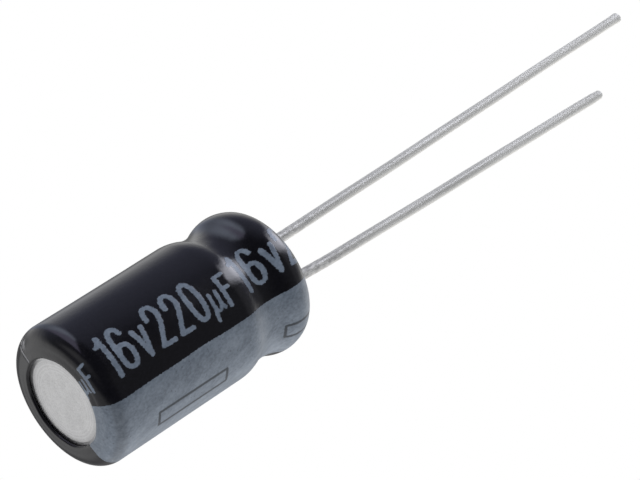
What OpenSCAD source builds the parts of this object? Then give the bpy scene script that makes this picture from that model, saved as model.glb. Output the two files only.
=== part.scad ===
// Radial electrolytic capacitor, standing on the closed end of its can with its leads up.
// The origin is the centre of the end that it stands on, and Z runs along the can.
// X runs through both leads, with the positive lead on its plus side.

/* [Can] */
// Outside diameter of the drawn aluminium can, on its straight barrel
can_d = 6.18; // [5.8:0.02:6.8]
// Length of the can, from its closed end to the top of its curled rim
can_len = 11.33; // [10:0.01:14]
// Sheet thickness of the can
can_wall = 0.25; // [0.18:0.01:0.3]
// Outside corner radius of the closed end
end_round = 0.64; // [0.4:0.02:0.9]
// Radius of the shoulder where the barrel turns into the bead
shoulder_round = 1.9; // [1.2:0.02:2.4]
// Radius of the hollow of the bead that grips the seal
bead_round = 2.22; // [1.6:0.02:2.6]
// Depth of the bead below the barrel
bead_depth = 0.27; // [0.2:0.01:0.35]
// Diameter of the can over the bulge above the bead
bulge_d = 6.28; // [6.1:0.02:6.4]
// Radius of the bulge's side, above the bead
bulge_round = 1.23; // [1.1:0.01:1.5]
// Height of the rim's top above the widest part of the bulge
bulge_drop = 0.87; // [0.8:0.01:1]
// Radius of the turn from the bulge's side over the top of the rim
rim_round = 0.61; // [0.55:0.01:0.7]
// Outside radius of the curl that closes the rim on the seal
curl_round = 0.45; // [0.35:0.01:0.5]
// Angle that the curl turns through, past the top of the rim
curl_turn = 110; // [60:5:120]

/* [Sleeve] */
// Wall of the shrunk plastic sleeve
sleeve_wall = 0.15; // [0.1:0.01:0.2]
// Radius of the round window that the sleeve leaves on the closed end
window_r = 2; // [1.6:0.05:2.3]
// Angle of the middle of the pale polarity band, from the positive lead
band_angle = 188; // [170:1:200]
// Angle that the polarity band covers
band_width = 68; // [40:1:100]

/* [Seal] */
// Depth of the seal's face below the top of the curl
seal_drop = 0.3; // [0.2:0.05:0.4]
// Thickness of the seal, from its inner face to its outer face
seal_len = 2.8; // [2.4:0.1:3.4]
// Edge break round the seal's outer face
seal_edge = 0.12; // [0.05:0.01:0.2]
// Diameter of the low lip that closes round each lead on the seal's face
lip_d = 1.16; // [0.9:0.02:1.4]
// Height of that lip
lip_h = 0.06; // [0.04:0.01:0.1]

/* [Leads] */
// Distance between the two leads where they leave the seal
lead_pitch = 2.5; // [2.3:0.05:2.7]
// Diameter of a tinned lead wire
lead_d = 0.5; // [0.4:0.05:0.6]
// Length of the positive lead above the seal
positive_len = 28.7; // [15:0.1:35]
// Length of the negative lead above the seal
negative_len = 22.1; // [12:0.1:30]
// Angle that the positive lead leans outwards
positive_lean_angle = 0.8; // [0.4:0.1:4]
// Angle that the negative lead leans outwards
negative_lean_angle = 2.2; // [0.4:0.1:4]
// Angle of the slanting cut at the tip of the positive lead
positive_cut_angle = 10; // [5:5:45]
// Angle of the slanting cut at the tip of the negative lead
negative_cut_angle = 5; // [5:5:45]
// Diameter of the weld collar at the foot of a lead wire
collar_d = 0.58; // [0.54:0.01:0.64]
// Height that the weld collar stands above the seal's face
collar_rise = 0.4; // [0.36:0.02:0.5]

/* [Tabs] */
// Diameter of the aluminium post that carries a lead through the seal
post_d = 0.9; // [0.7:0.05:1]
// Depth below the seal's face at which the lead is welded to its post
weld_drop = 0.65; // [0.5:0.05:1]
// Length of post that stands out below the seal
post_foot = 0.4; // [0.3:0.05:0.6]
// Width of the flat blade that is stitched to a foil
blade_w = 1; // [0.8:0.05:1.2]
// Thickness of the blade
blade_t = 0.15; // [0.1:0.01:0.2]

/* [Winding] */
// Radius of the hollow core that the winding is rolled on
core_r = 0.5; // [0.4:0.05:0.6]
// Thickness of the etched positive foil
anode_t = 0.1; // [0.08:0.01:0.12]
// Thickness of the negative foil
cathode_t = 0.05; // [0.03:0.01:0.06]
// Thickness of each separator paper
paper_t = 0.05; // [0.03:0.01:0.06]
// Thickness of the tape that holds the winding shut
tape_t = 0.05; // [0.03:0.01:0.06]
// Margin of paper past each edge of the foils
paper_margin = 0.25; // [0.15:0.05:0.4]
// Width of the holding tape
tape_w = 4; // [2:0.1:5]
// Gap between the winding's lower edge and the closed end of the can
winding_rest = 0.3; // [0.2:0.05:0.5]
// Gap between the winding's upper edge and the seal
winding_head = 1.18; // [0.9:0.02:1.6]

/* [Hidden] */
$fn = 96;
fit = 0.01;
layer_gap = 0.015;
arc_step = 7.5;
wind_step = 10;
blade_margin = 4;
bump_ramp = 30;
full_turn = 360;
half_turn = full_turn / 2;
past = 1;

can_r = can_d / 2;
sleeve_out = fit + sleeve_wall;
can_z = sleeve_out;
rim_z = can_z + can_len;

// Centres of the tangent arcs of the can's outside, worked down from the rim.
bulge_c = [bulge_d / 2 - bulge_round, rim_z - bulge_drop];
bead_x = can_r - bead_depth + bead_round;
bead_z = bulge_c.y - sqrt(pow(bead_round + bulge_round, 2) - pow(bead_x - bulge_c.x, 2));
shoulder_x = can_r - shoulder_round;
shoulder_z = bead_z - sqrt(pow(shoulder_round + bead_round, 2) - pow(bead_x - shoulder_x, 2));
end_c = [can_r - end_round, can_z + end_round];
shoulder_turn = atan2(bead_z - shoulder_z, bead_x - shoulder_x);
bulge_turn = atan2(bulge_c.y - bead_z, bead_x - bulge_c.x);
rim_turn = asin((bulge_drop - rim_round) / (bulge_round - rim_round));
rim_c = on_arc(bulge_c, bulge_round - rim_round, rim_turn);
curl_c = [rim_c.x, rim_z - curl_round];
curl_end = 90 + curl_turn;

seal_z = rim_z - seal_drop;
seal_foot = seal_z - seal_len;
seal_face_r = curl_c.x - curl_round - fit;
lip_top_d = (lip_d + collar_d) / 2;
weld_z = seal_z - weld_drop;
post_z = seal_foot - post_foot;

wind_pitch = anode_t + cathode_t + 2 * paper_t + 4 * layer_gap;
paper_z = can_z + can_wall + winding_rest;
paper_w = seal_foot - winding_head - paper_z;
foil_z = paper_z + paper_margin;
foil_w = paper_w - 2 * paper_margin;

// A blade keeps one radius, so the turns climb past it from one edge to the other.
blade_half = asin(blade_w / lead_pitch);
blade_climb = wind_pitch * blade_half / full_turn;
blade_room = blade_t + layer_gap + 2 * blade_climb;
wind_limit = can_r - can_wall - 2 * layer_gap - tape_t;
wind_turn = full_turn * ((wind_limit - core_r - blade_room) / wind_pitch - 1);
wind_end = wind_step * floor(wind_turn / wind_step - 2);

// Order of the four layers outwards from the core, and how far each stands off the first.
anode_off = 0;
inner_paper_off = anode_off + anode_t + layer_gap;
cathode_off = inner_paper_off + paper_t + layer_gap;
outer_paper_off = cathode_off + cathode_t + layer_gap;

// Turn of the winding on which each blade lies, chosen nearest to its lead.
anode_turn = round((lead_pitch / 2 - core_r - anode_t) / wind_pitch);
cathode_turn = round((lead_pitch / 2 - core_r - cathode_off - cathode_t) / wind_pitch - 0.5);
anode_blade_r = core_r + wind_pitch * anode_turn + anode_t + layer_gap + blade_climb;
cathode_blade_r = core_r + wind_pitch * (cathode_turn + 0.5) + outer_paper_off + blade_climb;

function on_arc(c, r, a) = [c.x + r * cos(a), c.y + r * sin(a)];

// Points of an arc from one angle to another, close enough together to look round.
function arc(c, r, from, to) =
    let (n = max(2, ceil(abs(to - from) / arc_step)))
    [for (i = [0 : n]) on_arc(c, r, from + (to - from) * i / n)];

function reversed(list) = [for (i = [len(list) - 1 : -1 : 0]) list[i]];

// Outline of the can from the corner of its closed end to its rim, standing off by d.
function can_path(d) = concat(
    arc(end_c, end_round + d, -90, 0),
    arc([shoulder_x, shoulder_z], shoulder_round + d, 0, shoulder_turn),
    arc([bead_x, bead_z], bead_round - d, 180 + shoulder_turn, 180 - bulge_turn),
    arc(bulge_c, bulge_round + d, -bulge_turn, rim_turn),
    arc(rim_c, rim_round + d, rim_turn, 90));

function can_outline() = concat(
    [[0, can_z]],
    can_path(0),
    arc(curl_c, curl_round, 90, curl_end),
    arc(curl_c, curl_round - can_wall, curl_end, 90),
    reversed(can_path(-can_wall)),
    [[0, can_z + can_wall]]);

function sleeve_outline() = concat(
    arc([window_r + sleeve_wall / 2, sleeve_wall / 2], sleeve_wall / 2, -270, -90),
    can_path(sleeve_out),
    arc([rim_c.x, rim_z + fit + sleeve_wall / 2], sleeve_wall / 2, 90, 270),
    reversed(can_path(fit)));

// The sleeve between two angles, so that each printed colour is one field of it.
module sleeve_field(from, to) {
    rotate([0, 0, from])
        rotate_extrude(angle = to - from) polygon(sleeve_outline());
}

module sleeve() {
    band_start = band_angle - band_width / 2;
    band_end = band_angle + band_width / 2;
    color("black") sleeve_field(band_end, band_start + full_turn);
    color("slategray") sleeve_field(band_start, band_end);
}

module can() {
    color("lightgray")
        rotate_extrude() polygon(can_outline());
}

// Radius at a height on the can's outline, standing off by d.
function can_r_at(z, d) = lookup(z, [for (p = can_path(d)) [p.y, p.x]]);

// The seal swells into the bulge, and its face stands up inside the curl.
function seal_outline() =
    let (off = -can_wall - fit, shelf = curl_c.y - curl_round / 2)
    concat(
        [[0, seal_foot], [can_r_at(seal_foot, off), seal_foot]],
        [for (p = can_path(off)) if (p.y > seal_foot && p.y < shelf) p],
        [[can_r_at(shelf, off), shelf], [seal_face_r, shelf]],
        [[seal_face_r, seal_z - seal_edge], [seal_face_r - seal_edge, seal_z], [0, seal_z]]);

module seal() {
    color("dimgray")
        difference() {
            union() {
                rotate_extrude() polygon(seal_outline());
                for (side = [-1, 1])
                    translate([side * lead_pitch / 2, 0, seal_z - lip_h])
                        cylinder(d1 = 2 * lip_d - lip_top_d, d2 = lip_top_d, h = 2 * lip_h);
            }
            for (side = [-1, 1])
                translate([side * lead_pitch / 2, 0, 0]) {
                    translate([0, 0, seal_foot - past])
                        cylinder(d = post_d + 2 * fit, h = weld_z + fit - seal_foot + past);
                    translate([0, 0, weld_z])
                        cylinder(d = collar_d + 2 * fit, h = weld_drop + past);
                }
        }
}

// A lead wire: the weld collar through the seal, and the wire that leans outwards from it.
module lead(length, lean_angle, cut_angle) {
    rooted = weld_drop / 2;
    wire_len = length - collar_rise + rooted;
    cut_z = wire_len - lead_d / 2 * tan(cut_angle);
    translate([lead_pitch / 2, 0, 0]) {
        translate([0, 0, weld_z])
            cylinder(d = collar_d, h = weld_drop + collar_rise);
        translate([0, 0, seal_z + collar_rise - rooted])
            rotate([0, lean_angle, 0])
                difference() {
                    cylinder(d = lead_d, h = wire_len);
                    translate([0, 0, cut_z])
                        rotate([0, cut_angle, 0])
                            translate([-lead_d, -lead_d, 0])
                                cube([2 * lead_d, 2 * lead_d, lead_d]);
                }
    }
}

module lead_positive() {
    color("silver")
        lead(positive_len, positive_lean_angle, positive_cut_angle);
}

module lead_negative() {
    color("silver")
        rotate([0, 0, half_turn]) lead(negative_len, negative_lean_angle, negative_cut_angle);
}

// A tab: the post that fills the seal's hole, and the blade that curves with the winding.
module tab(blade_r) {
    color("gainsboro") {
        translate([lead_pitch / 2, 0, post_z])
            cylinder(d = post_d, h = weld_z - post_z);
        rotate([0, 0, -blade_half])
            translate([0, 0, foil_z + paper_margin])
                rotate_extrude(angle = 2 * blade_half)
                    translate([blade_r, 0])
                        square([blade_t, post_z + post_foot / 2 - foil_z - paper_margin]);
    }
}

module tab_positive() {
    tab(anode_blade_r);
}

module tab_negative() {
    rotate([0, 0, half_turn]) tab(cathode_blade_r);
}

// How far a layer is lifted by a blade below it: a flat top over the blade and a soft ramp.
function lift(a) =
    let (off = abs(a) - blade_half - blade_margin)
    off <= 0 ? blade_room : off >= bump_ramp ? 0 : blade_room * (1 + cos(180 * off / bump_ramp)) / 2;

// Inner radius of a layer at a running angle, past is 1 for a layer outside that turn's blade.
function wind_r(a, off, past_anode, past_cathode) =
    let (n = round(a / full_turn), m = round((a - half_turn) / full_turn))
    core_r + wind_pitch * a / full_turn + off
    + (n >= anode_turn + 1 - past_anode ? lift(a - full_turn * n) : 0)
    + (m >= cathode_turn + 1 - past_cathode ? lift(a - half_turn - full_turn * m) : 0);

// Outline of one strip of the winding, seen along the can.
function strip(from, to, off, t, past_anode, past_cathode) =
    let (inside = [for (a = [from : wind_step : to])
            let (r = wind_r(a, off, past_anode, past_cathode)) [r * cos(a), r * sin(a)]],
        outside = [for (a = [to : -wind_step : from])
            let (r = wind_r(a, off, past_anode, past_cathode) + t) [r * cos(a), r * sin(a)]])
    concat(inside, outside);

module anode_foil() {
    color("lightsteelblue")
        translate([0, 0, foil_z])
            linear_extrude(foil_w) polygon(strip(0, wind_end, anode_off, anode_t, 0, 0));
}

module cathode_foil() {
    color("lightgray")
        translate([0, 0, foil_z])
            linear_extrude(foil_w) polygon(strip(0, wind_end, cathode_off, cathode_t, 1, 0));
}

module separator(off, past_cathode) {
    color("wheat")
        translate([0, 0, paper_z])
            linear_extrude(paper_w)
                polygon(strip(0, wind_end, off, paper_t, 1, past_cathode));
}

module separator_inner() {
    separator(inner_paper_off, 0);
}

module separator_outer() {
    separator(outer_paper_off, 1);
}

// The tape takes the place of one more turn of the positive foil.
module winding_tape() {
    color("khaki")
        translate([0, 0, foil_z + (foil_w - tape_w) / 2])
            linear_extrude(tape_w)
                polygon(strip(wind_end + wind_step, wind_end + full_turn, anode_off, tape_t, 0, 0));
}

sleeve();
can();
seal();
lead_positive();
lead_negative();
tab_positive();
tab_negative();
anode_foil();
cathode_foil();
separator_inner();
separator_outer();
winding_tape();
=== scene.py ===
import math

import bpy
import numpy as np
from mathutils import Matrix, Vector


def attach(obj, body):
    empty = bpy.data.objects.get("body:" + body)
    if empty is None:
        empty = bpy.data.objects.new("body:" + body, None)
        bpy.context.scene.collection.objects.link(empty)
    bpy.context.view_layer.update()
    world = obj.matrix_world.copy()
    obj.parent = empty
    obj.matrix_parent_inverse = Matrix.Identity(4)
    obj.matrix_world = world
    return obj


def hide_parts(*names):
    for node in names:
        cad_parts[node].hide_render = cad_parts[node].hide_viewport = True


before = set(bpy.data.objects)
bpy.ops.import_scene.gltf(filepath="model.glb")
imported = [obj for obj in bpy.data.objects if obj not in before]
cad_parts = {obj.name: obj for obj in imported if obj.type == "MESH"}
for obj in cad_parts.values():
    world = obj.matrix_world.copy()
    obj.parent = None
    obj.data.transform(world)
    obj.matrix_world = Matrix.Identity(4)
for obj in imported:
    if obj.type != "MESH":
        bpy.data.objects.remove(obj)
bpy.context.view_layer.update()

MM = 0.001

# Can, in millimetres and degrees, the same as its solid
CAN_R = 3.09
CAN_WALL = 0.25
END_ROUND = 0.64
SHOULDER_ROUND = 1.9
BEAD_ROUND = 2.22
BEAD_DEPTH = 0.27
BULGE_R = 3.14
BULGE_ROUND = 1.23
BULGE_DROP = 0.87
RIM_Z = 11.49
RIM_ROUND = 0.61
CURL_ROUND = 0.45
CURL_END = 200

# Film over the can, with a round window on the closed end
FIT = 0.01
FILM = 0.15
STAND_OFF = FIT + FILM
CAN_Z = STAND_OFF
WINDOW_R = 2.0
PRINT_R = CAN_R + STAND_OFF

# Wires and the weld collars at their feet
SEAL_Z = 11.19
WELD_Z = 10.54
COLLAR_R = 0.29
COLLAR_RISE = 0.4
COLLAR_TOP = SEAL_Z + COLLAR_RISE
LEAD_R = 0.25
LEAD_PITCH = 2.5
LEAD_SUNK = 0.325

# Centres and turns of the arcs along the side of the can
BULGE_C = (BULGE_R - BULGE_ROUND, RIM_Z - BULGE_DROP)
BEAD_X = CAN_R - BEAD_DEPTH + BEAD_ROUND
BEAD_Z = BULGE_C[1] - math.sqrt((BEAD_ROUND + BULGE_ROUND) ** 2 - (BEAD_X - BULGE_C[0]) ** 2)
SHOULDER_X = CAN_R - SHOULDER_ROUND
SHOULDER_Z = BEAD_Z - math.sqrt((SHOULDER_ROUND + BEAD_ROUND) ** 2 - (BEAD_X - SHOULDER_X) ** 2)
END_C = (CAN_R - END_ROUND, CAN_Z + END_ROUND)
RIM_TURN = math.degrees(math.asin((BULGE_DROP - RIM_ROUND) / (BULGE_ROUND - RIM_ROUND)))
RIM_X = BULGE_C[0] + (BULGE_ROUND - RIM_ROUND) * math.cos(math.radians(RIM_TURN))
CURL_C = (RIM_X, RIM_Z - CURL_ROUND)

# Camera at the photograph's viewing angle, its place in millimetres
CAMERA_RIGHT = (-0.74042, -0.00156, 0.67214)
CAMERA_UP = (0.39363, 0.80957, 0.43549)
CAMERA_BACK = (-0.54482, 0.58702, -0.59881)
CAMERA_PLACE = (-53.2073, 57.1187, -43.0979)
CAMERA_LENS = 124.36


def aimed(right, up, back, place):
    """Where something stands and how it is turned, when it looks away from its back."""
    matrix = Matrix((right, up, back)).transposed().to_4x4()
    matrix.translation = place
    return matrix


def make_camera():
    data = bpy.data.cameras.new("main_camera")
    data.sensor_fit = "HORIZONTAL"
    data.sensor_width = 36.0
    data.lens = CAMERA_LENS
    data.clip_start = 0.002
    data.clip_end = 20.0
    camera = bpy.data.objects.new("main_camera", data)
    camera.matrix_world = aimed(CAMERA_RIGHT, CAMERA_UP, CAMERA_BACK, Vector(CAMERA_PLACE) * MM)
    bpy.context.scene.collection.objects.link(camera)
    bpy.context.scene.camera = camera


# Node helpers
def add(tree, kind, inputs=None, **settings):
    node = tree.nodes.new("ShaderNode" + kind)
    for key, value in settings.items():
        setattr(node, key, value)
    for key, value in (inputs or {}).items():
        plug(tree, node.inputs[key], value)
    return node


def plug(tree, socket, value):
    if isinstance(value, bpy.types.NodeSocket):
        tree.links.new(value, socket)
    elif isinstance(value, bpy.types.Node):
        tree.links.new(value.outputs[0], socket)
    else:
        socket.default_value = value


def calc(tree, operation, first, second=0.0, third=0.0):
    return add(tree, "Math", {0: first, 1: second, 2: third}, operation=operation).outputs[0]


def product(tree, *values):
    result = values[0]
    for value in values[1:]:
        result = calc(tree, "MULTIPLY", result, value)
    return result


def fade(tree, value, low, high, to_low=0.0, to_high=1.0):
    """A soft step of a value from one level to another."""
    levels = {"Value": value, "From Min": low, "From Max": high, "To Min": to_low, "To Max": to_high}
    return add(tree, "MapRange", levels, interpolation_type="SMOOTHSTEP").outputs[0]


def blend_value(tree, factor, first, second):
    return add(tree, "Mix", {0: factor, 2: first, 3: second}).outputs[0]


def blend_colour(tree, factor, first, second):
    return add(tree, "Mix", {0: factor, 6: first, 7: second}, data_type="RGBA").outputs[2]


def laid_over(tree, base, mask, share, colour):
    """A colour over another one, as far as a share of the mask says."""
    return blend_colour(tree, product(tree, mask, share), base, colour)


def rgb(red, green, blue):
    return (red, green, blue, 1.0)


def grey(level):
    return rgb(level, level, level)


def on_part(tree):
    """Place on the part."""
    return add(tree, "TexCoord").outputs["Object"]


def along_part(tree):
    """Distance along the can and its wires, from the closed end."""
    return add(tree, "SeparateXYZ", {0: on_part(tree)}).outputs["Z"]


def stretched(tree, where, by):
    return add(tree, "VectorMath", {0: where, 1: by}, operation="MULTIPLY").outputs[0]


def stored_value(tree, name):
    return add(tree, "Attribute", attribute_name=name).outputs["Fac"]


def noise(tree, where, scale, detail, roughness):
    inputs = {"Vector": where, "Scale": scale, "Detail": detail, "Roughness": roughness}
    return add(tree, "TexNoise", inputs).outputs[0]


def new_group(name, inputs, output):
    group = bpy.data.node_groups.new(name, "ShaderNodeTree")
    for label, value in inputs.items():
        socket = group.interface.new_socket(name=label, in_out="INPUT", socket_type="NodeSocketFloat")
        socket.default_value = value
    group.interface.new_socket(name=output, in_out="OUTPUT", socket_type="NodeSocketFloat")
    given = group.nodes.new("NodeGroupInput").outputs
    return group, given, group.nodes.new("NodeGroupOutput").inputs[output]


def place(tree, group, **inputs):
    node = tree.nodes.new("ShaderNodeGroup")
    node.node_tree = group
    for key, value in inputs.items():
        plug(tree, node.inputs[key.replace("_", " ")], value)
    return node.outputs[0]


# Shared effects, with their fineness given in spots or lines to the millimetre
def grain_group():
    """Cloudy variation, drawn out along the part where Along is under 1."""
    inputs = {"Per Mm": 1.0, "Along": 1.0, "Detail": 3.0, "Low": 0.3, "High": 0.7}
    group, given, result = new_group("grain", inputs, "Value")
    stretch = add(group, "CombineXYZ", {"X": 1.0, "Y": 1.0, "Z": given["Along"]})
    scale = product(group, given["Per Mm"], 1 / MM)
    cloud = noise(group, stretched(group, on_part(group), stretch), scale, given["Detail"], 0.55)
    plug(group, result, fade(group, cloud, given["Low"], given["High"]))
    return group


def drawn_lines_group():
    """Fine lines along the part, as drawing through a die leaves them."""
    inputs = {"Per Mm": 20.0, "Length": 40.0, "Low": 0.35, "High": 0.65}
    group, given, result = new_group("drawn_lines", inputs, "Value")
    squeeze = add(group, "CombineXYZ", {"X": 1.0, "Y": 1.0, "Z": calc(group, "DIVIDE", 1.0, given["Length"])})
    scale = product(group, given["Per Mm"], 1 / MM)
    lines = noise(group, stretched(group, on_part(group), squeeze), scale, 2.0, 0.5)
    plug(group, result, fade(group, lines, given["Low"], given["High"]))
    return group


def printed_edge_group():
    """Cover of printed ink from the distance to its edge in millimetres, below zero inside."""
    inputs = {"Distance": 1.0, "Ragged": 0.02, "Soft": 0.02, "Per Mm": 12.0}
    group, given, result = new_group("printed_edge", inputs, "Cover")
    cloud = noise(group, on_part(group), product(group, given["Per Mm"], 1 / MM), 2.0, 0.6)
    shake = product(group, calc(group, "SUBTRACT", cloud, 0.5), given["Ragged"], 2.0)
    moved = calc(group, "ADD", given["Distance"], shake)
    inner = product(group, given["Soft"], -1.0)
    plug(group, result, fade(group, moved, inner, given["Soft"], 1.0, 0.0))
    return group


def speck_group():
    """Scattered round specks, such as dust, pits and pinholes."""
    inputs = {"Per Mm": 2.0, "Size": 0.15, "Share": 0.3}
    group, given, result = new_group("specks", inputs, "Mask")
    scale = product(group, given["Per Mm"], 1 / MM)
    cells = add(group, "TexVoronoi", {"Vector": on_part(group), "Scale": scale, "Randomness": 1.0}).outputs
    pick = add(group, "SeparateColor", {0: cells["Color"]})
    chosen = calc(group, "LESS_THAN", pick.outputs[0], given["Share"])
    core = product(group, given["Size"], 0.5)
    plug(group, result, product(group, chosen, fade(group, cells["Distance"], core, given["Size"], 1.0, 0.0)))
    return group


GRAIN = grain_group()
DRAWN_LINES = drawn_lines_group()
PRINTED_EDGE = printed_edge_group()
SPECKS = speck_group()


def new_material(name):
    material = bpy.data.materials.new(name)
    material.use_nodes = True
    material.node_tree.nodes.clear()
    return material, material.node_tree


def relief(tree, height, depth_mm, below=None):
    """Bump of a height from 0 to 1 that is so many millimetres deep."""
    inputs = {"Height": height, "Strength": 1.0, "Distance": depth_mm * MM}
    if below is not None:
        inputs["Normal"] = below
    return add(tree, "Bump", inputs).outputs[0]


def surface(tree, colour, roughness, normal, metallic=0.0, **constants):
    inputs = {"Base Color": colour, "Roughness": roughness, "Normal": normal, "Metallic": metallic}
    inputs.update({key.replace("_", " "): value for key, value in constants.items()})
    shader = add(tree, "BsdfPrincipled", inputs)
    add(tree, "OutputMaterial", {"Surface": shader.outputs[0]})


# Materials
FILM_BLACK = rgb(0.0045, 0.0045, 0.0065)
FILM_WORN = rgb(0.007, 0.007, 0.01)
BAND_INK = (rgb(0.098, 0.124, 0.163), rgb(0.232, 0.274, 0.335))
LETTER_INK = (rgb(0.105, 0.132, 0.178), rgb(0.215, 0.262, 0.34))
BOX_LINE = 0.132
TIN = (rgb(0.57, 0.57, 0.56), rgb(0.78, 0.78, 0.768))
TIN_METAL = 0.3


def film_wear(tree):
    """Soft mottle of the film, and the slanting rub marks of the roller that printed it."""
    mottle = place(tree, GRAIN, Per_Mm=9.0, Along=0.8, Detail=3.0, Low=0.3, High=0.7)
    slant = add(tree, "VectorRotate", {"Vector": on_part(tree), "Angle": 0.6}, rotation_type="X_AXIS")
    drag = noise(tree, stretched(tree, slant, (1.0, 1.0, 0.4)), 3.6 / MM, 5.0, 0.65)
    return mottle, fade(tree, drag, 0.35, 0.68)


def printed_ink(tree, mottle, drag):
    """Cover and colour of the ink: the pale band, the thin lines of its boxes and the letters, and painted
    shade that darkens the ink where the film turns in over the closed end's corner.
    """
    letters = place(
        tree, PRINTED_EDGE, Distance=stored_value(tree, "letter_edge"), Ragged=0.06, Soft=0.022, Per_Mm=9.0)
    band = place(
        tree, PRINTED_EDGE, Distance=stored_value(tree, "band_edge"), Ragged=0.04, Soft=0.02, Per_Mm=9.0)
    off_line = calc(tree, "SUBTRACT", calc(tree, "ABSOLUTE", stored_value(tree, "box_edge")), BOX_LINE / 2)
    box_lines = place(tree, PRINTED_EDGE, Distance=off_line, Ragged=0.03, Soft=0.025, Per_Mm=12.0)

    streaks = place(tree, GRAIN, Per_Mm=1.6, Along=0.35, Detail=5.0, Low=0.3, High=0.72)
    thin = calc(tree, "MULTIPLY_ADD", streaks, 0.32, product(tree, mottle, 0.4))
    thin = calc(tree, "MULTIPLY_ADD", drag, 0.3, thin)
    pinholes = place(tree, SPECKS, Per_Mm=5.0, Size=0.25, Share=0.12)
    where = along_part(tree)
    # Painted shade: the ink turns darker over the corner where the film turns in to the closed end.
    turned_in = product(
        tree, fade(tree, where, 0.12 * MM, 0.3 * MM), fade(tree, where, 0.4 * MM, 0.85 * MM, 0.34, 0.0))

    colour = laid_over(tree, blend_colour(tree, thin, *BAND_INK), pinholes, 0.6, rgb(0.08, 0.1, 0.13))
    colour = blend_colour(tree, turned_in, colour, rgb(0.02, 0.022, 0.028))
    colour = blend_colour(tree, letters, colour, blend_colour(tree, thin, *LETTER_INK))
    colour = laid_over(tree, colour, box_lines, 0.9, rgb(0.02, 0.026, 0.036))
    return calc(tree, "MAXIMUM", letters, band), colour


def sleeve_film():
    """Dark glossy shrunk film with grey-blue ink, with a painted highlight along its raised crease and a
    painted reflection on the end shoulder.
    """
    material, tree = new_material("sleeve_film")
    mottle, drag = film_wear(tree)
    ink, ink_colour = printed_ink(tree, mottle, drag)
    dust = place(tree, SPECKS, Per_Mm=1.3, Size=0.05, Share=0.3)
    film_colour = blend_colour(tree, mottle, FILM_BLACK, FILM_WORN)
    film_colour = laid_over(tree, film_colour, dust, 0.5, rgb(0.16, 0.16, 0.17))
    colour = blend_colour(tree, ink, film_colour, ink_colour)
    # Painted highlight: the film is lightened along the raised crease on the end.
    crease_highlight = fade(tree, stored_value(tree, "crease_highlight"), 0.03, 0.075, 1.0, 0.0)
    colour = laid_over(tree, colour, crease_highlight, 0.7, rgb(0.34, 0.34, 0.36))
    # Painted reflection: a light patch on the end shoulder, broken up by the roller's rub marks.
    shoulder_sheen = fade(tree, stored_value(tree, "shoulder_sheen"), 0.5, 1.2, 1.0, 0.0)
    shoulder_sheen = product(tree, shoulder_sheen, fade(tree, drag, 0.1, 0.6))
    colour = laid_over(tree, colour, shoulder_sheen, 0.8, rgb(0.45, 0.45, 0.47))

    rub = place(tree, GRAIN, Per_Mm=0.8, Along=0.5, Detail=4.0, Low=0.35, High=0.75)
    film_gloss = calc(tree, "MULTIPLY_ADD", rub, 0.05, 0.13)
    ink_gloss = calc(tree, "MULTIPLY_ADD", mottle, 0.12, 0.3)
    peel = place(tree, GRAIN, Per_Mm=2.2, Along=0.7, Detail=2.0, Low=0.2, High=0.8)
    wrinkles = place(tree, GRAIN, Per_Mm=2.6, Along=1.0, Detail=2.0, Low=0.2, High=0.8)
    where = along_part(tree)
    at_neck = product(
        tree, fade(tree, where, 7.4 * MM, 8.2 * MM), fade(tree, where, 8.8 * MM, 9.6 * MM, 1.0, 0.0))
    normal = relief(tree, peel, 0.0022)
    normal = relief(tree, product(tree, wrinkles, at_neck), 0.004, normal)
    normal = relief(tree, mottle, 0.0007, normal)
    normal = relief(tree, ink, 0.003, normal)
    surface(tree, colour, blend_value(tree, ink, film_gloss, ink_gloss), normal)
    return material


def can_aluminium():
    """Bright mottled sheet with faint turned rings on its end, and painted shade that greys it towards the
    film's edge.
    """
    material, tree = new_material("can_aluminium")
    mottle = place(tree, GRAIN, Per_Mm=3.2, Along=1.0, Detail=6.0, Low=0.28, High=0.74)
    fine = place(tree, GRAIN, Per_Mm=22.0, Along=1.0, Detail=3.0, Low=0.3, High=0.7)
    pits = place(tree, SPECKS, Per_Mm=4.0, Size=0.12, Share=0.25)
    across = stretched(tree, on_part(tree), (1.0, 1.0, 0.0))
    from_axis = add(tree, "VectorMath", {0: across}, operation="LENGTH").outputs["Value"]
    turning = {"W": from_axis, "Scale": 7.0 / MM, "Detail": 2.0}
    rings = fade(tree, add(tree, "TexNoise", turning, noise_dimensions="1D").outputs[0], 0.46, 0.62)
    rings = product(tree, rings, fade(tree, from_axis, 1.0 * MM, 1.6 * MM, 0.0, 0.5))

    tone = calc(tree, "MULTIPLY_ADD", mottle, 0.35, product(tree, fine, 0.65))
    colour = blend_colour(tree, tone, rgb(0.66, 0.66, 0.665), grey(0.92))
    # Painted shade: the end greys towards the film's lip, where the lip shades it.
    edge = fade(tree, from_axis, 1.45 * MM, 1.85 * MM, 0.0, 0.18)
    colour = blend_colour(tree, edge, colour, rgb(0.42, 0.42, 0.43))
    colour = blend_colour(tree, rings, colour, rgb(0.97, 0.97, 0.98))
    colour = laid_over(tree, colour, pits, 0.3, grey(0.95))
    roughness = calc(tree, "MULTIPLY_ADD", fine, 0.12, 0.42)
    normal = relief(tree, fine, 0.0012, relief(tree, mottle, 0.004))
    surface(tree, colour, roughness, normal, 1.0)
    return material


def seal_rubber():
    """Matt black moulded rubber with a dusty bloom."""
    material, tree = new_material("seal_rubber")
    bloom = place(tree, GRAIN, Per_Mm=1.2, Along=1.0, Detail=5.0, Low=0.35, High=0.75)
    fine = place(tree, GRAIN, Per_Mm=16.0, Along=1.0, Detail=3.0, Low=0.3, High=0.7)
    specks = place(tree, SPECKS, Per_Mm=3.0, Size=0.1, Share=0.25)
    colour = blend_colour(tree, bloom, rgb(0.02, 0.02, 0.022), rgb(0.05, 0.05, 0.054))
    colour = laid_over(tree, colour, specks, 0.5, grey(0.13))
    roughness = calc(tree, "MULTIPLY_ADD", fine, 0.2, 0.6)
    surface(tree, colour, roughness, relief(tree, fine, 0.004))
    return material


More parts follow.
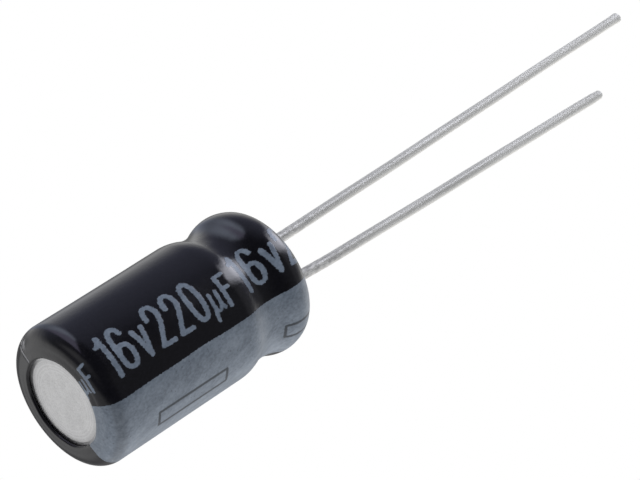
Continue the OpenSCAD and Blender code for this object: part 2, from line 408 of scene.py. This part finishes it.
def lead_tin():
    """Tinned wire: satin with long streaks, grained at its foot, duller and paler to its tip."""
    material, tree = new_material("lead_tin")
    lines = place(tree, DRAWN_LINES, Per_Mm=6.0, Length=45.0, Low=0.3, High=0.7)
    hair = place(tree, DRAWN_LINES, Per_Mm=22.0, Length=60.0, Low=0.3, High=0.7)
    dull = place(tree, GRAIN, Per_Mm=0.5, Along=0.5, Detail=3.0, Low=0.3, High=0.7)
    foot_grain = place(tree, GRAIN, Per_Mm=6.0, Along=0.5, Detail=4.0, Low=0.35, High=0.65)
    nicks = place(tree, SPECKS, Per_Mm=2.0, Size=0.16, Share=0.1)
    where = along_part(tree)
    near_body = fade(tree, where, 13 * MM, 19 * MM, 1.0, 0.0)
    far_tip = fade(tree, where, 18 * MM, 36 * MM)
    spots = product(tree, near_body, foot_grain)

    tone = calc(tree, "MULTIPLY_ADD", lines, 0.7, product(tree, dull, 0.3))
    colour = blend_colour(tree, tone, *TIN)
    colour = laid_over(tree, colour, far_tip, 0.55, rgb(0.84, 0.84, 0.825))
    colour = laid_over(tree, colour, near_body, 0.5, rgb(0.84, 0.84, 0.83))
    colour = laid_over(tree, colour, spots, 0.75, rgb(0.34, 0.34, 0.345))
    roughness = calc(tree, "MULTIPLY_ADD", dull, 0.08, calc(tree, "MULTIPLY_ADD", far_tip, 0.22, 0.36))
    normal = relief(tree, hair, 0.00012, relief(tree, lines, 0.0016))
    normal = relief(tree, calc(tree, "MAXIMUM", nicks, spots), 0.005, normal)
    surface(tree, colour, roughness, normal, TIN_METAL, Specular_IOR_Level=0.3)
    return material


def tab_aluminium():
    """Bright pressed rod with drawing lines."""
    material, tree = new_material("tab_aluminium")
    lines = place(tree, DRAWN_LINES, Per_Mm=12.0, Length=20.0)
    dull = place(tree, GRAIN, Per_Mm=2.0, Detail=4.0)
    colour = blend_colour(tree, lines, rgb(0.72, 0.72, 0.73), rgb(0.84, 0.84, 0.85))
    roughness = calc(tree, "MULTIPLY_ADD", dull, 0.1, 0.28)
    surface(tree, colour, roughness, relief(tree, lines, 0.003), 1.0)
    return material


def rolled_foil(name, dark, light, smoothest, depth):
    """Foil of the winding: etched foil is matt and grey, plain foil is satin."""
    material, tree = new_material(name)
    etch = place(tree, GRAIN, Per_Mm=25.0, Detail=4.0)
    lines = place(tree, DRAWN_LINES, Per_Mm=6.0, Length=15.0)
    roughness = calc(tree, "MULTIPLY_ADD", lines, 0.1, smoothest)
    surface(tree, blend_colour(tree, etch, dark, light), roughness, relief(tree, etch, depth), 1.0)
    return material


def soaked_paper():
    """Separator tissue: fibrous, tan from the liquid it holds."""
    material, tree = new_material("soaked_paper")
    fibres = place(tree, DRAWN_LINES, Per_Mm=14.0, Length=4.0)
    stain = place(tree, GRAIN, Per_Mm=0.9, Detail=5.0)
    colour = blend_colour(tree, stain, rgb(0.66, 0.56, 0.39), rgb(0.76, 0.66, 0.49))
    colour = laid_over(tree, colour, fibres, 0.25, rgb(0.5, 0.41, 0.27))
    roughness = calc(tree, "MULTIPLY_ADD", stain, -0.2, 0.75)
    surface(tree, colour, roughness, relief(tree, fibres, 0.006))
    return material


def film_tape():
    """Thin yellowish tape with small bubbles under it."""
    material, tree = new_material("film_tape")
    haze = place(tree, GRAIN, Per_Mm=1.5, Detail=4.0)
    bubbles = place(tree, SPECKS, Per_Mm=3.0, Size=0.2, Share=0.2)
    colour = blend_colour(tree, haze, rgb(0.70, 0.64, 0.42), rgb(0.8, 0.74, 0.54))
    roughness = calc(tree, "MULTIPLY_ADD", haze, 0.15, 0.35)
    surface(tree, colour, roughness, relief(tree, bubbles, 0.004))
    return material


# Outline and mesh helpers
TOUCHING = 1e-6


def arc(centre, radius, start, end, gap):
    steps = max(2, math.ceil(abs(math.radians(end - start)) * radius / gap))
    turn = np.radians(np.linspace(start, end, steps + 1))
    return [(centre[0] + radius * math.cos(t), centre[1] + radius * math.sin(t)) for t in turn]


def filled(points, gap):
    """The same path with no step longer than the gap."""
    path = [points[0]]
    for last, point in zip(points, points[1:]):
        far = math.dist(last, point)
        if far < TOUCHING:
            continue
        steps = max(1, math.ceil(far / gap - TOUCHING))
        path += [(last[0] + (point[0] - last[0]) * k / steps, last[1] + (point[1] - last[1]) * k / steps)
                 for k in range(1, steps + 1)]
    return path


def can_path(off, gap):
    """Side of the can from its closed end to the top of its rim, standing off by a distance."""
    shoulder_turn = math.degrees(math.atan2(BEAD_Z - SHOULDER_Z, BEAD_X - SHOULDER_X))
    bulge_turn = math.degrees(math.atan2(BULGE_C[1] - BEAD_Z, BEAD_X - BULGE_C[0]))
    return (arc(END_C, END_ROUND + off, -90, 0, gap)
            + arc((SHOULDER_X, SHOULDER_Z), SHOULDER_ROUND + off, 0, shoulder_turn, gap)
            + arc((BEAD_X, BEAD_Z), BEAD_ROUND - off, 180 + shoulder_turn, 180 - bulge_turn, gap)
            + arc(BULGE_C, BULGE_ROUND + off, -bulge_turn, RIM_TURN, gap)
            + arc((RIM_X, RIM_Z - RIM_ROUND), RIM_ROUND + off, RIM_TURN, 90, gap))


def ramp(value, low, high):
    """From 0 at low to 1 at high, and level beyond."""
    return np.clip((value - low) / (high - low), 0, 1)


def eased(share):
    """A share from 0 to 1 that starts and ends softly."""
    return share ** 2 * (3 - 2 * share)


def on_circle(radius, turn, z):
    """Points at a distance from the axis of the can, turned about it."""
    return np.stack([radius * np.cos(turn), radius * np.sin(turn), z], -1).reshape(-1, 3)


def ring_faces(rings, around, closed):
    """Faces between rings of points, and from the last ring to the first where it is closed."""
    faces = []
    for i in range(rings if closed else rings - 1):
        low, high = i * around, ((i + 1) % rings) * around
        for j in range(around):
            k = (j + 1) % around
            faces.append((low + j, low + k, high + k, high + j))
    return faces


def smooth_object(name, vertices_mm, faces):
    mesh = bpy.data.meshes.new(name)
    mesh.from_pydata([tuple(v) for v in vertices_mm * MM], [], faces)
    mesh.validate()
    mesh.polygons.foreach_set("use_smooth", [True] * len(mesh.polygons))
    piece = bpy.data.objects.new(name, mesh)
    bpy.context.scene.collection.objects.link(piece)
    return piece


def store_value(piece, name, values):
    attribute = piece.data.attributes.new(name, "FLOAT", "POINT")
    attribute.data.foreach_set("value", np.asarray(values, np.float32).ravel())


def finish_piece(piece, material, node):
    piece.data.materials.append(material)
    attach(piece, "root")
    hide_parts(node)


# Print on the sleeve, in millimetres on the flat film, with angles in degrees
RATING = [("1", 0.86), ("6", 1.50), ("V", 2.54), ("2", 3.42), ("2", 4.44), ("0", 5.47),
          ("micro", 6.41), ("F", 7.21)]
RATING_PITCH = 7.45
RATING_REPEATS = (-1, 0, 1)
BASE_ANGLE = 140.5
DIGIT_STROKE = 0.098
THIN_STROKE = {"V": 0.092, "micro": 0.072, "F": 0.086}
STEM_STRETCH = 0.8
STROKE_REACH = 0.4
BAND_FROM, BAND_TO = 154.2, 220.5
BOX_FROM, BOX_TO = 2.36, 6.2
BOX_LOW, BOX_HIGH = 182.6, 195.2
BOX_SKEW = 0.35
BOX_SHIFT = 0.06

# Values stored far from any print, crease or painted shoulder sheen, and the place of the film's hidden
# inside
NO_PRINT = 2.0
NO_BOX = 5.0
NO_CREASE = 1.0
NO_SHEEN = 5.0
HIDDEN_ALONG = -50.0


def bowed(points):
    """A smooth stroke through the points."""
    p = np.array([points[0]] + list(points) + [points[-1]], float)
    stroke = []
    for k in range(1, len(p) - 2):
        for t in np.linspace(0, 1, 6, endpoint=False):
            stroke.append(0.5 * (2 * p[k] + (p[k + 1] - p[k - 1]) * t
                                 + (2 * p[k - 1] - 5 * p[k] + 4 * p[k + 1] - p[k + 2]) * t ** 2
                                 + (3 * p[k] - p[k - 1] - 3 * p[k + 1] + p[k + 2]) * t ** 3))
    stroke.append(p[-2])
    return [tuple(q) for q in stroke]


def oval(centre, half_wide, half_tall):
    """A round stroke with slightly squared shoulders."""
    turn = np.radians(np.linspace(0, 360, 33))
    across, up = np.cos(turn), np.sin(turn)
    square = 2 / 2.4
    x = centre[0] + half_wide * np.sign(across) * abs(across) ** square
    y = centre[1] + half_tall * np.sign(up) * abs(up) ** square
    return list(zip(x, y))


def sign_strokes():
    """Strokes of each sign, from its left edge and the line it stands on."""
    return {
        "1": [[(0.34, 0.03), (0.34, 1.88)], bowed([(0.33, 1.86), (0.24, 1.64), (0.08, 1.54)])],
        "2": [bowed([(0.12, 1.36), (0.14, 1.60), (0.26, 1.83), (0.415, 1.88), (0.58, 1.82), (0.69, 1.61),
                     (0.70, 1.38), (0.63, 1.12), (0.48, 0.80), (0.30, 0.47), (0.13, 0.11)]),
              [(0.13, 0.105), (0.73, 0.105)]],
        "6": [oval((0.415, 0.60), 0.31, 0.495),
              bowed([(0.105, 0.62), (0.105, 1.20), (0.16, 1.62), (0.30, 1.84), (0.45, 1.88), (0.61, 1.80),
                     (0.70, 1.56)])],
        "0": [oval((0.415, 0.9925), 0.31, 0.8875)],
        "V": [[(0.08, 1.32), (0.34, 0.1), (0.60, 1.32)]],
        "micro": [[(0.17, 0.88), (0.12, 0.30), (0.03, -0.26)],
                  bowed([(0.13, 0.36), (0.17, 0.16), (0.29, 0.09), (0.42, 0.18), (0.50, 0.36)]),
                  [(0.54, 0.88), (0.50, 0.26), (0.60, 0.09)]],
        "F": [[(0.1, 0.02), (0.1, 1.37), (0.52, 1.37)], [(0.1, 0.78), (0.43, 0.78)]],
    }


def rating_segments():
    """All strokes as straight pieces: both ends along and across the film, and half the width."""
    strokes = sign_strokes()
    base = math.radians(BASE_ANGLE) * PRINT_R
    pieces = []
    for repeat in RATING_REPEATS:
        for sign, left in RATING:
            half = THIN_STROKE.get(sign, DIGIT_STROKE)
            for stroke in strokes[sign]:
                points = [(left + repeat * RATING_PITCH + x, base - y) for x, y in stroke]
                pieces += [(*p, *q, half) for p, q in zip(points, points[1:])]
    return pieces


def letter_distance(along, across):
    """Millimetres outside the nearest stroke, below zero inside it."""
    best = np.full(along.shape, NO_PRINT)
    for x0, y0, x1, y1, half in rating_segments():
        near = ((along > min(x0, x1) - STROKE_REACH) & (along < max(x0, x1) + STROKE_REACH)
                & (across > min(y0, y1) - STROKE_REACH) & (across < max(y0, y1) + STROKE_REACH))
        if not near.any():
            continue
        dx, dy = x1 - x0, y1 - y0
        t = ((along[near] - x0) * dx + (across[near] - y0) * dy) / (dx * dx + dy * dy)
        t = np.clip(t, 0, 1)
        gap = np.hypot(STEM_STRETCH * (along[near] - x0 - t * dx), across[near] - y0 - t * dy)
        best[near] = np.minimum(best[near], gap - half)
    return best


def band_distance(along, angle):
    """Millimetres outside the pale band, below zero inside it. Its edges sway a little."""
    sway = 0.35 * np.sin(along * 0.9 + 0.4) + 0.25 * np.sin(along * 2.1)
    inside = np.minimum(angle - BAND_FROM - sway, BAND_TO + 0.6 * sway - angle)
    return np.where(along < HIDDEN_ALONG / 2, NO_PRINT, -inside * math.radians(1) * PRINT_R)


def box_distance(along, angle):
    """Millimetres outside the printed boxes that mark the band, below zero inside them."""
    best = np.full(along.shape, NO_BOX)
    for repeat in RATING_REPEATS:
        start = BOX_FROM + repeat * RATING_PITCH + (BOX_SHIFT if repeat else 0)
        end = start + BOX_TO - BOX_FROM
        skew = BOX_SKEW * (along - BOX_FROM)
        low, high = BOX_LOW + 0.45 * skew, BOX_HIGH + 0.3 * skew
        x = np.maximum(start - along, along - end)
        y = np.maximum(low - angle, angle - high) * math.radians(1) * PRINT_R
        outside = np.hypot(np.maximum(x, 0), np.maximum(y, 0))
        best = np.minimum(best, outside + np.minimum(np.maximum(x, y), 0))
    return best


# Sleeve, with its unevenness in millimetres and angles in degrees.
# The film is even inside EVEN_R, and the waves of its cut edge end at MOUTH_R.
SLEEVE_AROUND = 320
SLEEVE_STEP = 0.064
LIP_STEP = 0.03
HIDDEN_ARC_STEP, HIDDEN_STEP = 0.3, 0.8
EVEN_R = 2.1
MOUTH_R = 2.45
END_DROOP = 0.032
SLIMMER = 0.045
SLIMMER_TO = 7.7
LONG_WAVE = 0.0025
NECK_WAVE = 0.0012
NECK_Z, NECK_HALF = 9.1, 0.55
END_PRINT = 0.6
DRAWN_OUT, DRAWN_FROM = 0.9, 0.7
CREASE_ANGLE = 31.5
CREASE_FROM, CREASE_TO = 2.05, 2.95
CREASE_RISE = 0.03
CREASE_HALF = 0.05
# Place and size of the painted reflection on the end shoulder
SHEEN_ANGLE = 37
SHEEN_Z = 0.22
SHEEN_HALF = (0.28, 0.16)


def print_place(r, z):
    """How far along the can the print on the film lies. It is drawn out where the film turns in."""
    turn = np.clip(np.arctan2(END_C[1] - z, r - END_C[0]), 0, math.pi / 2)
    path = (END_ROUND + STAND_OFF) * turn + np.clip(END_C[0] - r, 0, None)
    turned_in = END_C[1] - END_PRINT * path - DRAWN_OUT * np.clip(path - DRAWN_FROM, 0, None)
    return np.where(z < END_C[1], turned_in, z)


def film_waves(angle, z):
    """Unevenness of the shrunk film, always inwards: long waves, and short ones at the neck."""
    a = np.radians(angle)
    waves = np.sin(2 * a + 0.8 * z) + 0.7 * np.sin(3 * a - 1.1 * z + 1.0)
    waves += 0.5 * np.sin(5 * a + 1.9 * z + 2.0)
    neck = np.sin(17 * a + 0.5) + 0.6 * np.sin(29 * a + 1.3)
    neck *= np.exp(-((z - NECK_Z) / NECK_HALF) ** 2)
    return LONG_WAVE * (waves - 2.2) + NECK_WAVE * (neck - 1.6)


def mouth_waves(angle):
    """Unevenness of the film's cut edge round the window."""
    a = np.radians(angle)
    return 0.012 * np.sin(3 * a + 0.6) + 0.009 * np.sin(7 * a + 2.0) + 0.005 * np.sin(13 * a)


def make_sleeve():
    """The shrunk film, dense enough to carry the edges of its print."""
    lip = arc((WINDOW_R + FILM / 2, FILM / 2), FILM / 2, 90, 270, LIP_STEP)
    outer = filled([lip[-1]] + filled(can_path(STAND_OFF, SLEEVE_STEP), SLEEVE_STEP), SLEEVE_STEP)[1:]
    rim = arc((RIM_X, RIM_Z + FIT + FILM / 2), FILM / 2, 90, 270, LIP_STEP)[1:]
    inner = filled(can_path(FIT, HIDDEN_ARC_STEP), HIDDEN_STEP)[::-1]
    r, z = np.array(lip + outer + rim + inner).T
    row = np.arange(len(r))[:, None]
    shown = row < len(lip) + len(outer) + len(rim)
    outside = (row >= len(lip)) & (row < len(lip) + len(outer))

    angle, radius = np.meshgrid(np.arange(SLEEVE_AROUND) * 360 / SLEEVE_AROUND, r)
    height = np.repeat(z[:, None], SLEEVE_AROUND, 1)
    along = np.where(shown, print_place(radius, height), HIDDEN_ALONG)
    on_end = height < END_C[1]
    droop = END_DROOP * ramp(radius, EVEN_R, MOUTH_R) ** 1.2 * ramp(height, END_C[1], 0) ** 2
    height = height + droop * outside
    inwards = film_waves(angle, height) - SLIMMER * ramp(height, SLIMMER_TO, 0)
    radius = radius + outside * ramp(radius, EVEN_R, EVEN_R + 0.3) * inwards
    radius = radius + shown * on_end * ramp(radius, MOUTH_R, WINDOW_R) * mouth_waves(angle)
    off_crease = np.abs((angle - CREASE_ANGLE + 180) % 360 - 180) * math.radians(1) * radius
    creased = outside * on_end * ramp(radius, CREASE_FROM, CREASE_FROM + 0.1)
    creased = creased * ramp(radius, CREASE_TO, CREASE_TO - 0.2)
    height = height + CREASE_RISE * creased * np.exp(-(off_crease / CREASE_HALF) ** 2)

    turn = np.radians(angle)
    shoulder_sheen = np.hypot((angle - SHEEN_ANGLE) * math.radians(1) * radius / SHEEN_HALF[0],
                     (height - SHEEN_Z) / SHEEN_HALF[1])
    vertices = on_circle(radius, turn, height)
    sleeve = smooth_object("sleeve_skin", vertices, ring_faces(len(r), SLEEVE_AROUND, True))
    store_value(sleeve, "letter_edge", letter_distance(along, turn * PRINT_R))
    store_value(sleeve, "band_edge", band_distance(along, angle))
    store_value(sleeve, "box_edge", box_distance(along, angle))
    store_value(sleeve, "crease_highlight", np.where(creased > 0.3, off_crease, NO_CREASE))
    store_value(sleeve, "shoulder_sheen", np.where(outside, shoulder_sheen, NO_SHEEN))
    finish_piece(sleeve, sleeve_film(), "sleeve")


# Can
CAN_AROUND = 224
CAN_STEP = 0.09
COARSE_STEP = 0.2
LONGEST_STEP = 0.5
CURL_STEP = 0.05
COINED_END = [(0, 0), (1.83, 0), (1.87, 0.004), (1.90, 0.016), (1.93, 0.028), (1.98, 0.033), (2.2, 0.028),
              (2.38, 0.005)]


def make_can():
    """The drawn can: a flat coined end, the beaded side and the rim curled over the seal."""
    end = [(r, CAN_Z + rise) for r, rise in COINED_END]
    outline = (filled(end, COARSE_STEP) + can_path(0, CAN_STEP)
               + arc(CURL_C, CURL_ROUND, 90, CURL_END, CURL_STEP)[1:]
               + arc(CURL_C, CURL_ROUND - CAN_WALL, CURL_END, 90, CURL_STEP)
               + can_path(-CAN_WALL, COARSE_STEP)[::-1] + [(0, CAN_Z + CAN_WALL)])
    rows = np.array(filled(outline, LONGEST_STEP)[1:-1])
    radius, turn = np.meshgrid(rows[:, 0], np.arange(CAN_AROUND) * 2 * math.pi / CAN_AROUND, indexing="ij")
    height = np.repeat(rows[:, 1][:, None], CAN_AROUND, 1)
    middles = [[0, 0, rows[0, 1]], [0, 0, rows[-1, 1]]]
    vertices = np.vstack([on_circle(radius, turn, height), middles])
    faces = ring_faces(len(rows), CAN_AROUND, False)
    outer_middle, inner_middle = len(vertices) - 2, len(vertices) - 1
    inner_row = (len(rows) - 1) * CAN_AROUND
    for j in range(CAN_AROUND):
        k = (j + 1) % CAN_AROUND
        faces.append((outer_middle, k, j))
        faces.append((inner_middle, inner_row + j, inner_row + k))
    finish_piece(smooth_object("can_shell", vertices, faces), can_aluminium(), "can")


# Wires: name, solid, side of the axis, length above the seal, lean and slant of the cut in degrees
LEADS = [("positive_wire", "lead_positive", 1, 28.7, 0.8, 10),
         ("negative_wire", "lead_negative", -1, 22.1, 2.2, 5)]
LEAD_AROUND = 40
LEAD_RINGS = 150
LEAD_SAG = 0.08
SAG_FROM, SAG_TO = 0.5, 3.5
WIRE_FROM = 0.45
TIP_ROUND = 0.14
TIP_NARROWED = 0.45
CUT_REACH = 0.5
NIP_REACH, NIP_FULL = 0.75, 0.15
NIP_WIDER, NIP_FLATTER = 0.07, 0.1
NIP_ANGLE = math.radians(42.5)


def collar_profile():
    """Height and radius of the weld collar, from inside the seal to where the wire leaves it."""
    foot = [(WELD_Z, 0.0), (WELD_Z, COLLAR_R * 0.8), (WELD_Z + 0.02, COLLAR_R - 0.01),
            (WELD_Z + 0.06, COLLAR_R)]
    side = [(z, COLLAR_R) for z in np.linspace(WELD_Z + 0.2, COLLAR_TOP - 0.1, 6)]
    top = [(COLLAR_TOP - 0.05, COLLAR_R - 0.003), (COLLAR_TOP - 0.01, COLLAR_R - 0.014),
           (COLLAR_TOP + 0.03, LEAD_R + 0.012), (COLLAR_TOP + 0.08, LEAD_R + 0.003)]
    return foot + side + top


def wire_stations(free):
    """Distances up the wire and its thickness there as a share, rounded off at the tip."""
    shaft = [(t, 1.0) for t in np.linspace(WIRE_FROM, free - TIP_ROUND, LEAD_RINGS)]
    tip = [(free - TIP_ROUND * (1 - math.sin(b)), 1 - TIP_NARROWED * (1 - math.cos(b)))
           for b in np.radians(range(10, 91, 10))]
    return shaft + tip


def make_lead(name, node, side, length, lean, cut, material):
    """A tinned wire with its weld collar, leaning outwards, its tip nipped by the cutter."""
    lean, cut = math.radians(lean), math.tan(math.radians(cut))
    foot = COLLAR_TOP - LEAD_SUNK
    free = length - COLLAR_RISE + LEAD_SUNK
    turn = np.arange(LEAD_AROUND) * 2 * math.pi / LEAD_AROUND
    ring = on_circle(1.0, turn, np.zeros(LEAD_AROUND))
    rings = [ring * radius + [max(z - foot, 0) * math.tan(lean), 0, z] for z, radius in collar_profile()]
    tilt = np.array([[math.cos(lean), 0, math.sin(lean)], [0, 1, 0], [-math.sin(lean), 0, math.cos(lean)]])
    nip = np.array([math.cos(NIP_ANGLE), math.sin(NIP_ANGLE) * side, 0.0])
    across = np.array([-nip[1], nip[0], 0.0])
    for t, share in wire_stations(free):
        swell = eased(ramp(t, free - NIP_REACH, free - NIP_FULL))
        wide = (ring @ nip) * (1 + NIP_WIDER * swell)
        flat = (ring @ across) * (1 - NIP_FLATTER * swell)
        circle = LEAD_R * share * (wide[:, None] * nip + flat[:, None] * across)
        circle[:, 2] -= ramp(t, free - CUT_REACH, free) * (circle[:, 0] + LEAD_R) * cut
        settle = eased(ramp(t, SAG_FROM, SAG_TO))
        bow = 0.012 * math.sin(t * 0.31 + side) + 0.006 * math.sin(t * 0.83 + 1.0 + side)
        local = circle + [bow * settle, -side * LEAD_SAG * settle, t]
        rings.append(local @ tilt.T + [0, 0, foot])
    vertices = np.concatenate(rings + [rings[-1].mean(0)[None]])
    vertices[:, 0] += LEAD_PITCH / 2
    if side < 0:
        vertices[:, :2] *= -1
    faces = ring_faces(len(rings), LEAD_AROUND, False)
    centre, top = len(vertices) - 1, (len(rings) - 1) * LEAD_AROUND
    faces += [(top + j, top + (j + 1) % LEAD_AROUND, centre) for j in range(LEAD_AROUND)]
    finish_piece(smooth_object(name, vertices, faces), material, node)


# Studio, where Y is up and Z runs along the can, as in the photograph
FAR_SIDE = (0.8, 0.0, 0.6)
END_TABLE = (0.98, -0.2, 0.0)
SIDE_WINDOW_EDGES = [((-0.362, 0.052, 0.931), -0.05, 0.24, 1.0, 0.0),
                     ((-0.895, 0.280, 0.347), -0.1, 0.03, 1.0, 0.0),
                     ((-0.138, 0.540, 0.830), -0.08, 0.06, 0.0, 1.0)]
BACK_WINDOW_ACROSS = (0.960, 0.496, -0.132)
BACK_WINDOW_MIDDLE = 0.105
BLACK, WHITE = grey(0.0), grey(1.0)
CAN_MIDDLE = (0, 0, 6)
LAMP_WIDE, LAMP_AWAY = 0.30, 0.40


def softbox(name, way, radiance, tint):
    """A flat square lamp that faces the middle of the can and lights matt surfaces only."""
    data = bpy.data.lights.new(name, "AREA")
    data.shape = "SQUARE"
    data.size = LAMP_WIDE
    data.energy = radiance * math.pi * LAMP_WIDE ** 2
    data.color = tint
    lamp = bpy.data.objects.new(name, data)
    back = Vector(way).normalized()
    side = Vector((1, 0, 0)).cross(back).normalized()
    lamp.matrix_world = aimed(side, back.cross(side), back, Vector(CAN_MIDDLE) * MM + back * LAMP_AWAY)
    lamp.visible_glossy = False
    lamp.visible_camera = False
    bpy.context.scene.collection.objects.link(lamp)


def toward(tree, way, axis):
    return add(tree, "VectorMath", {0: way, 1: axis}, operation="DOT_PRODUCT").outputs["Value"]


def reflected_table(tree, way, sideward, height, axial):
    """White table: darkest close under the can, brightest past the wires and the closed end."""
    shaded = fade(tree, height, -0.42, -0.18, fade(tree, sideward, 0.0, 0.4, 0.56, 0.22), 0.84)
    past_wires = product(
        tree, fade(tree, axial, 0.66, 0.88, 0.0, 0.9), fade(tree, sideward, 0.1, 0.4, 1.0, 0.0),
        fade(tree, height, -0.25, -0.12, 1.0, 0.0))
    beside = calc(tree, "ADD", shaded, past_wires)
    at_end = fade(tree, toward(tree, way, END_TABLE), 0.44, 0.9, 0.48, 1.1)
    level = blend_value(tree, fade(tree, axial, -0.5, -0.1, 1.0, 0.0), beside, at_end)
    return add(tree, "CombineXYZ", {"X": level, "Y": level, "Z": level})


def reflected_ceiling(tree, side_on, far_side, height, axial):
    """Dim ceiling: dark overhead and on the near side, grey past the closed end, bluish far off."""
    low = blend_colour(tree, fade(tree, axial, 0.62, 0.76), rgb(0.12, 0.12, 0.125), rgb(0.27, 0.27, 0.29))
    near = blend_colour(tree, fade(tree, height, 0.45, 0.92), low, rgb(0.012, 0.012, 0.014))
    past_end = product(tree, fade(tree, axial, -0.84, -0.64, 1.0, 0.0), fade(tree, height, 0.1, 0.45))
    near = blend_colour(tree, past_end, near, rgb(0.5, 0.5, 0.51))
    near = blend_colour(tree, fade(tree, side_on, -0.95, -0.2, 0.9, 0.0), near, BLACK)
    return blend_colour(tree, far_side, near, rgb(0.25, 0.26, 0.36))


def with_side_window(tree, seen, way, height, axial):
    """Wide window with soft edges beside the can, brighter towards the wires and dim low down."""
    window = product(tree, *[fade(tree, toward(tree, way, axis), *edge) for axis, *edge in SIDE_WINDOW_EDGES])
    pane = blend_colour(tree, fade(tree, axial, -0.1, 0.15), rgb(0.95, 0.9, 1.25), rgb(1.45, 1.6, 2.0))
    pane = blend_colour(tree, fade(tree, height, 0.1, 0.8, 0.35, 1.0), BLACK, pane)
    return blend_colour(tree, window, seen, pane)


def with_back_window(tree, seen, way, height, axial):
    """Narrow bright window past the wires, which gives the spot in the neck."""
    off = calc(tree, "SUBTRACT", toward(tree, way, BACK_WINDOW_ACROSS), BACK_WINDOW_MIDDLE)
    window = product(
        tree, fade(tree, calc(tree, "ABSOLUTE", off), 0.03, 0.32, 1.0, 0.0),
        fade(tree, height, -0.15, 0.3), fade(tree, axial, 0.6, 0.67),
        fade(tree, height, 0.3, 0.6, 1.0, 0.85), fade(tree, height, 0.7, 0.8, 1.0, 0.0))
    return blend_colour(tree, window, seen, rgb(5.7, 5.8, 6.5))


def reflected_room(tree):
    """What gloss reflects: the table below, the ceiling above and the two windows."""
    way = add(tree, "TexCoord").outputs["Generated"]
    parts = add(tree, "SeparateXYZ", {0: way}).outputs
    sideward, height, axial = parts["X"], parts["Y"], parts["Z"]
    side_on = toward(tree, way, FAR_SIDE)
    far_side = fade(tree, side_on, 0.0, 0.7)
    table_top = calc(tree, "MULTIPLY_ADD", far_side, 0.42, 0.03)
    table_foot = calc(tree, "MULTIPLY_ADD", far_side, 0.09, -0.27)
    table = fade(tree, height, table_foot, table_top, 1.0, 0.0)
    seen = blend_colour(
        tree, table, reflected_ceiling(tree, side_on, far_side, height, axial),
        reflected_table(tree, way, sideward, height, axial))
    seen = with_side_window(tree, seen, way, height, axial)
    return with_back_window(tree, seen, way, height, axial), height


def make_world():
    """White studio: plain white to the camera, the room to gloss and soft fill to matt surfaces."""
    world = bpy.data.worlds.new("white_studio")
    bpy.context.scene.world = world
    world.use_nodes = True
    tree = world.node_tree
    tree.nodes.clear()
    room, height = reflected_room(tree)
    glossy = add(tree, "Background", {"Color": room, "Strength": 1.0})
    white = add(tree, "Background", {"Color": WHITE, "Strength": 1.0})
    from_below = fade(tree, height, -0.45, 0.15, 1.25, 0.22)
    fill = add(tree, "Background", {"Color": rgb(0.97, 0.985, 1.0), "Strength": from_below})
    path = add(tree, "LightPath").outputs
    direct = calc(tree, "MAXIMUM", path["Is Camera Ray"], path["Is Transmission Ray"])
    indirect = add(tree, "MixShader", {0: path["Is Glossy Ray"], 1: fill, 2: glossy})
    shown = add(tree, "MixShader", {0: direct, 1: indirect, 2: white})
    add(tree, "OutputWorld", {"Surface": shown})


def make_floor():
    """Pale floor that fades out into the white background and is clear from below."""
    bpy.ops.mesh.primitive_circle_add(vertices=96, radius=0.16, fill_type="NGON", location=(0, 0, 0))
    floor = bpy.context.object
    floor.name = "studio_floor"
    material, tree = new_material("floor_white")
    far = add(tree, "VectorMath", {0: on_part(tree)}, operation="LENGTH").outputs["Value"]
    from_above = calc(tree, "SUBTRACT", 1.0, add(tree, "NewGeometry").outputs["Backfacing"])
    cover = product(tree, fade(tree, far, 30 * MM, 130 * MM, 1.0, 0.0), from_above)
    matt = add(tree, "BsdfDiffuse", {"Color": grey(0.62)})
    glow = add(tree, "Emission", {"Color": WHITE, "Strength": 0.45})
    lit = add(tree, "AddShader", {0: matt, 1: glow})
    mixed = add(tree, "MixShader", {0: cover, 1: add(tree, "BsdfTransparent"), 2: lit})
    add(tree, "OutputMaterial", {"Surface": mixed})
    floor.data.materials.append(material)
    for ray in ("visible_diffuse", "visible_glossy", "visible_transmission", "visible_shadow"):
        setattr(floor, ray, False)


def make_studio():
    make_world()
    make_floor()
    softbox("top_key", (0.10, 0.99, -0.10), 3.4, (1.0, 1.0, 1.0))
    softbox("table_bounce", (-0.15, -0.98, 0.1), 5.2, (1.0, 0.9, 0.8))
    bpy.context.scene.view_settings.view_transform = "Standard"


def dress_inner_solids():
    """The seal, the tabs and the winding are the solids themselves, with their own materials."""
    tabs, paper = tab_aluminium(), soaked_paper()
    dressed = {
        "seal": seal_rubber(), "tab_positive": tabs, "tab_negative": tabs,
        "anode_foil": rolled_foil("etched_foil", rgb(0.48, 0.50, 0.53), rgb(0.60, 0.62, 0.65), 0.6, 0.004),
        "cathode_foil": rolled_foil("plain_foil", rgb(0.64, 0.64, 0.65), rgb(0.74, 0.74, 0.75), 0.35, 0.001),
        "separator_inner": paper, "separator_outer": paper, "winding_tape": film_tape(),
    }
    for node_name, material in dressed.items():
        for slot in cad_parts[node_name].material_slots:
            slot.material = material


make_camera()
make_sleeve()
make_can()
tinned = lead_tin()
for lead in LEADS:
    make_lead(*lead, tinned)
dress_inner_solids()
make_studio()
